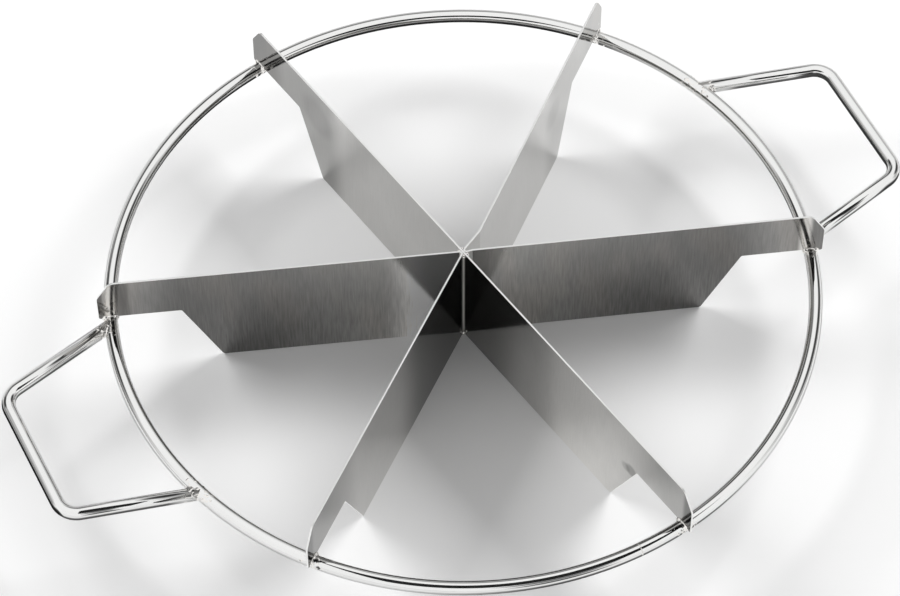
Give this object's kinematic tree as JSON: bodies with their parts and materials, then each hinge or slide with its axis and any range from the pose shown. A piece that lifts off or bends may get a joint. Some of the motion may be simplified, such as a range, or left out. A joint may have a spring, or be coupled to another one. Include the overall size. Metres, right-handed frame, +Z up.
{
  "type": "cake portion marker",
  "caption": "Wire ring with a bent wire handle on each side, crossed by stepped upright strips of sheet that meet in the middle, for pressing portion lines into a round cake.",
  "frame": {"origin": "on the hub's axis, on the plane that the lower edges of the wings stand on", "axes": "+Z up along the hub's axis; +X from the left handle to the right one"},
  "size_m": [0.347, 0.265, 0.05],
  "materials": {
    "wire": "drawn wire, polished bright",
    "sheet": "rolled sheet with a fine upright grain, nearly a mirror",
    "weld": "bare weld metal, dull and a little rough"
  },
  "bodies": {
    "root": {"ring": "wire", "left_handle": "wire", "right_handle": "wire", "straight_blade": "sheet", "left_bent_blade": "sheet", "right_bent_blade": "sheet", "handle_welds": "weld", "tip_welds": "weld", "hub_welds": "weld"}
  },
  "joints": []
}
